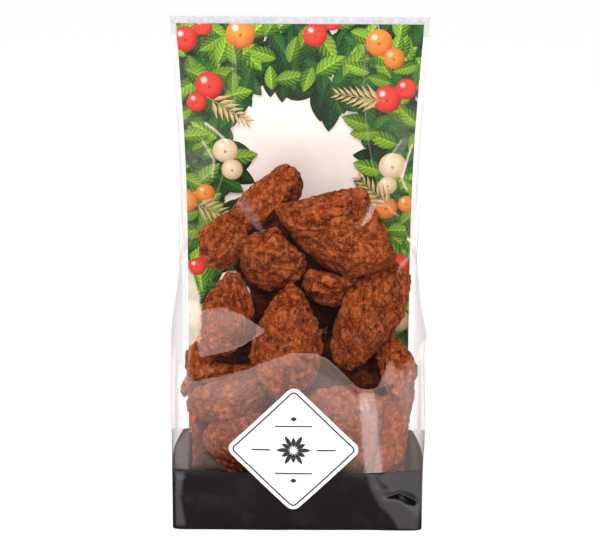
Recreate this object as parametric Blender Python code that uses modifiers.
"""A clear block-bottomed bag of chocolate truffles, standing upright, with a diamond label on its front.

The bag is one closed solid of its outer form: a flat rectangular bottom, a body pushed out by the
truffles, sides that fold inwards above them, and a flat seal along the top. Metres, +Z up, front at -Y,
origin at the middle of the bottom.
"""

import math

import bmesh
import bpy
from mathutils import Vector

# Driving dimensions of the bag
FOLD_WIDTH = 0.080  # across the front where the bag is pressed flat at the top
DEPTH = 0.040  # front to back at the bottom, twice the width of a folded side panel
HEIGHT = 0.1595
SEAL_HEIGHT = 0.0056  # strip along the top where all the layers are pressed together
SEAL_THICKNESS = 0.0012
SHOULDER_Z = 0.084  # up to here the truffles hold the bag open to its full depth

# Half the bag's width at some heights: the front folds are drawn in above the fullest part
FRONT_HALF_WIDTHS = ((0.0, 0.0390), (0.050, 0.0389), (0.086, 0.0366), (0.120, 0.0374), (HEIGHT, FOLD_WIDTH / 2))
BACK_HALF_WIDTHS = ((0.0, 0.0389), (0.084, 0.0385), (0.120, 0.0386), (HEIGHT, FOLD_WIDTH / 2))

# How the filled film departs from a straight box
FRONT_SWELL = 0.0049
BACK_SWELL = 0.0018
SIDE_SWELL = 0.0016
CORNER_RADIUS = 0.0024
BOTTOM_ROUNDING = 0.0008
LIP_RADIUS = 0.0005  # of the edges in front of and behind a folded side
GROOVE_END = 0.008  # below the seal, where a folded side runs out

# Where truffles press the film out: x, z, reach and height, on the front and on the back
FRONT_LUMPS = (
    (-0.022, 0.070, 0.011, 0.0011),
    (-0.004, 0.061, 0.012, 0.0012),
    (-0.022, 0.043, 0.012, 0.0012),
    (0.016, 0.034, 0.014, 0.0010),
    (0.023, 0.073, 0.012, 0.0012),
    (0.010, 0.093, 0.013, 0.0012),
)
BACK_LUMPS = (
    (-0.018, 0.032, 0.014, 0.0009),
    (0.019, 0.037, 0.013, 0.0008),
    (-0.014, 0.067, 0.013, 0.0009),
    (0.016, 0.074, 0.014, 0.0009),
)

# The label: a square standing on one corner, with round corners
LABEL_SIDE = 0.0300
LABEL_CORNER = 0.0027
LABEL_CENTRE = (-0.0016, 0.028)  # x and z on the front
LABEL_GAP = 0.0003
LABEL_THICKNESS = 0.0003

# Fineness of the mesh
FRONT_STEPS = 18
SIDE_STEPS = 4
CORNER_STEPS = 2
BODY_RINGS = 21
SHOULDER_RINGS = 16
LABEL_STEPS = 12


def eased(t, softness=0.16):
    """0 to 1, starting softly and then running straight."""
    rise = math.sqrt(t * t + softness * softness) - softness
    return rise / (math.sqrt(1 + softness * softness) - softness)


def between(table, z):
    """The value at height z on a smooth curve through the table's (height, value) points."""
    z = min(max(z, table[0][0]), table[-1][0])
    i = max(k for k in range(len(table) - 1) if table[k][0] <= z)

    def slope(k):
        before, after = table[max(k - 1, 0)], table[min(k + 1, len(table) - 1)]
        return (after[1] - before[1]) / (after[0] - before[0])

    (z0, v0), (z1, v1) = table[i], table[i + 1]
    span = z1 - z0
    t = (z - z0) / span
    start = v0 * (1 + 2 * t) * (1 - t) ** 2 + v1 * t * t * (3 - 2 * t)
    return start + span * (slope(i) * t * (1 - t) ** 2 - slope(i + 1) * t * t * (1 - t))


def seal_z():
    return HEIGHT - SEAL_HEIGHT


def half_depth(z):
    """Half the bag's depth at its folds: full up to the shoulder, then closing to the seal."""
    t = min(max((z - SHOULDER_Z) / (seal_z() - SHOULDER_Z), 0.0), 1.0)
    return DEPTH / 2 + (SEAL_THICKNESS / 2 - DEPTH / 2) * eased(t)


def lumps_at(lumps, x, z):
    total = 0.0
    for lump_x, lump_z, reach, height in lumps:
        total += height * math.exp(-((x - lump_x) ** 2 + (z - lump_z) ** 2) / reach**2)
    return total


def swell(x, z, half_width, most, lumps):
    """How far a face stands out from the plane of its folds."""
    up = min(max(z / seal_z(), 0.0), 1.0) ** 0.6
    along = max(math.sin(math.pi * up), 0.0) ** 0.7
    across = max(1 - (x / half_width) ** 2, 0.0)
    open_share = half_depth(z) / (DEPTH / 2)
    return across * open_share * along * (most + lumps_at(lumps, x, z))


def front_y(x, z):
    return -half_depth(z) - swell(x, z, between(FRONT_HALF_WIDTHS, z), FRONT_SWELL, FRONT_LUMPS)


def back_y(x, z):
    return half_depth(z) + swell(x, z, between(BACK_HALF_WIDTHS, z), BACK_SWELL, BACK_LUMPS)


def corner_line(half_width, half_depth_here, radius):
    """A quarter circle at the front right corner, from the front face round to the side."""
    line = []
    for i in range(CORNER_STEPS + 1):
        angle = math.pi / 2 * i / CORNER_STEPS
        x = half_width - radius + radius * math.sin(angle)
        line.append((x, -half_depth_here + radius - radius * math.cos(angle)))
    return line


def half_side(corner, middle, bulge):
    """A corner and the side panel's points from it towards the fold in the side's middle."""
    (x0, y0), (x1, y1) = corner[-1], middle
    line = list(corner)
    for i in range(1, SIDE_STEPS):
        share = i / SIDE_STEPS
        out = bulge * (math.sin(math.pi / 2 * share) - share)
        line.append((x0 + (x1 - x0) * share + out, y0 + (y1 - y0) * share))
    return line


def side_line(z):
    """The right-hand side at height z, from its front corner to its back corner, as (x, y) points.

    Above the shoulder each half of the side keeps its width while the bag closes, so the fold in its
    middle moves inwards.
    """
    depth = half_depth(z)
    run_out = min(max((seal_z() - z) / GROOVE_END, 0.0), 1.0)
    inset = math.sqrt(max((DEPTH / 2) ** 2 - depth**2, 0.0)) * run_out
    folded = inset / (DEPTH / 2)
    radius = min(LIP_RADIUS + (CORNER_RADIUS - LIP_RADIUS) * (1 - folded) ** 2, 0.4 * depth)
    bulge = SIDE_SWELL * math.sin(math.pi * min(max(z / SHOULDER_Z, 0.0), 1.0))
    front = corner_line(between(FRONT_HALF_WIDTHS, z), depth, radius)
    back = [(x, -y) for x, y in corner_line(between(BACK_HALF_WIDTHS, z), depth, radius)]
    middle = ((front[-1][0] + back[-1][0]) / 2 - inset + bulge, 0.0)
    return half_side(front, middle, bulge) + [middle] + half_side(back, middle, bulge)[::-1]


def ring(z, inwards=0.0):
    """One closed section of the bag at height z, anticlockwise from the front's left corner."""
    right = side_line(z)
    front_edge, back_edge = right[0][0], right[-1][0]
    front, back = [], []
    for i in range(1, FRONT_STEPS):
        share = 2 * i / FRONT_STEPS - 1
        front.append((front_edge * share, front_y(front_edge * share, z)))
        back.append((-back_edge * share, back_y(-back_edge * share, z)))
    left = [(-x, y) for x, y in reversed(right)]
    points = left[-1:] + front + right + back + left[:-1]
    shrink_x = 1 - inwards / (FOLD_WIDTH / 2)
    shrink_y = 1 - inwards / (DEPTH / 2)
    return [Vector((x * shrink_x, y * shrink_y, z)) for x, y in points]


def ring_heights():
    """Heights of the sections above the rounded bottom edge."""
    groove_end = seal_z() - GROOVE_END
    low_step = (SHOULDER_Z - BOTTOM_ROUNDING) / BODY_RINGS
    high_step = (groove_end - SHOULDER_Z) / SHOULDER_RINGS
    low = [BOTTOM_ROUNDING + low_step * i for i in range(BODY_RINGS)]
    high = [SHOULDER_Z + high_step * i for i in range(SHOULDER_RINGS)]
    return low + high + [groove_end, (groove_end + seal_z()) / 2, seal_z(), HEIGHT]


def bottom_rings():
    """Sections of the rounded edge round the flat bottom."""
    rings = []
    for angle in (0.0, math.pi / 6, math.pi / 3):
        rings.append(ring(BOTTOM_ROUNDING * (1 - math.cos(angle)), BOTTOM_ROUNDING * (1 - math.sin(angle))))
    return rings


def loft(name, rings):
    """A closed solid through rings that all have the same number of points."""
    mesh = bpy.data.meshes.new(name)
    bm = bmesh.new()
    rows = [[bm.verts.new(point) for point in points] for points in rings]
    for lower, upper in zip(rows, rows[1:]):
        for i in range(len(lower)):
            j = (i + 1) % len(lower)
            bm.faces.new((lower[i], lower[j], upper[j], upper[i]))
    bm.faces.new(rows[0])
    bm.faces.new(rows[-1])
    bmesh.ops.recalc_face_normals(bm, faces=bm.faces)
    bm.to_mesh(mesh)
    bm.free()
    return bpy.data.objects.new(name, mesh)


def finish(name, colour, roughness):
    material = bpy.data.materials.new(name)
    material.use_nodes = True
    shader = material.node_tree.nodes["Principled BSDF"]
    shader.inputs["Base Color"].default_value = (*colour, 1.0)
    shader.inputs["Roughness"].default_value = roughness
    shader.inputs["Metallic"].default_value = 0.0
    return material


def make_bag(parts):
    bag = loft("bag", bottom_rings() + [ring(z) for z in ring_heights()])
    bag.data.materials.append(finish("filled_clear_film", (0.32, 0.13, 0.06), 0.15))
    bag.data.shade_smooth()
    bag.data.set_sharp_from_angle(angle=math.radians(30))
    parts.objects.link(bag)


def rounded_diamond(name):
    """The label's outline as a filled curve: a square on its corner, with an arc at each corner."""
    curve = bpy.data.curves.new(name, "CURVE")
    curve.dimensions = "2D"
    curve.fill_mode = "BOTH"
    curve.extrude = DEPTH / 4
    outline = []
    reach = LABEL_SIDE / 2 - LABEL_CORNER
    for corner_x, corner_y, start in ((1, 1, 0), (-1, 1, 1), (-1, -1, 2), (1, -1, 3)):
        for i in range(7):
            angle = math.pi / 2 * (start + i / 6)
            x = corner_x * reach + LABEL_CORNER * math.cos(angle)
            outline.append((x, corner_y * reach + LABEL_CORNER * math.sin(angle)))
    spline = curve.splines.new("POLY")
    spline.points.add(len(outline) - 1)
    for point, (x, y) in zip(spline.points, outline):
        point.co = (x, y, 0.0, 1.0)
    spline.use_cyclic_u = True
    plate = bpy.data.objects.new(name, curve)
    plate.rotation_euler = (math.pi / 2, math.pi / 4, 0.0)
    plate.location = (LABEL_CENTRE[0], -DEPTH / 2, LABEL_CENTRE[1])
    return plate


def as_mesh(curve_object, collection):
    """The curve's solid as a mesh object in the same place, with its caps welded to its sides."""
    collection.objects.link(curve_object)
    bpy.context.view_layer.update()
    evaluated = curve_object.evaluated_get(bpy.context.evaluated_depsgraph_get())
    mesh = bpy.data.meshes.new_from_object(evaluated)
    bm = bmesh.new()
    bm.from_mesh(mesh)
    bmesh.ops.remove_doubles(bm, verts=bm.verts, dist=1e-6)
    bmesh.ops.recalc_face_normals(bm, faces=bm.faces)
    bm.to_mesh(mesh)
    bm.free()
    name, place = curve_object.name, curve_object.matrix_world.copy()
    bpy.data.objects.remove(curve_object)
    made = bpy.data.objects.new(name, mesh)
    made.matrix_world = place
    collection.objects.link(made)
    return made


def front_sheet(name, reach):
    """An open square sheet that follows the bag's front, a small gap in front of it."""
    bm = bmesh.new()
    bmesh.ops.create_grid(bm, x_segments=LABEL_STEPS, y_segments=LABEL_STEPS, size=reach)
    for vert in bm.verts:
        x, z = LABEL_CENTRE[0] + vert.co.x, LABEL_CENTRE[1] + vert.co.y
        vert.co = (x, front_y(x, z) - LABEL_GAP, z)
    bmesh.ops.triangulate(bm, faces=bm.faces)
    mesh = bpy.data.meshes.new(name)
    bm.to_mesh(mesh)
    bm.free()
    return bpy.data.objects.new(name, mesh)


def make_label(parts, cutters):
    label = front_sheet("label", LABEL_SIDE / math.sqrt(2))
    parts.objects.link(label)
    card = label.modifiers.new("card", "SOLIDIFY")
    card.thickness = LABEL_THICKNESS
    card.offset = 1.0
    outline = as_mesh(rounded_diamond("label_outline"), cutters)
    outline.hide_render = True
    outline.display_type = "WIRE"
    trim = label.modifiers.new("trim", "BOOLEAN")
    trim.operation = "INTERSECT"
    trim.object = outline
    label.data.materials.append(finish("white_label", (0.93, 0.93, 0.94), 0.35))


def main():
    for leftover in list(bpy.data.objects):
        bpy.data.objects.remove(leftover)
    parts = bpy.data.collections.new("truffle_bag")
    cutters = bpy.data.collections.new("cutters")
    bpy.context.scene.collection.children.link(parts)
    bpy.context.scene.collection.children.link(cutters)
    make_bag(parts)
    make_label(parts, cutters)


main()
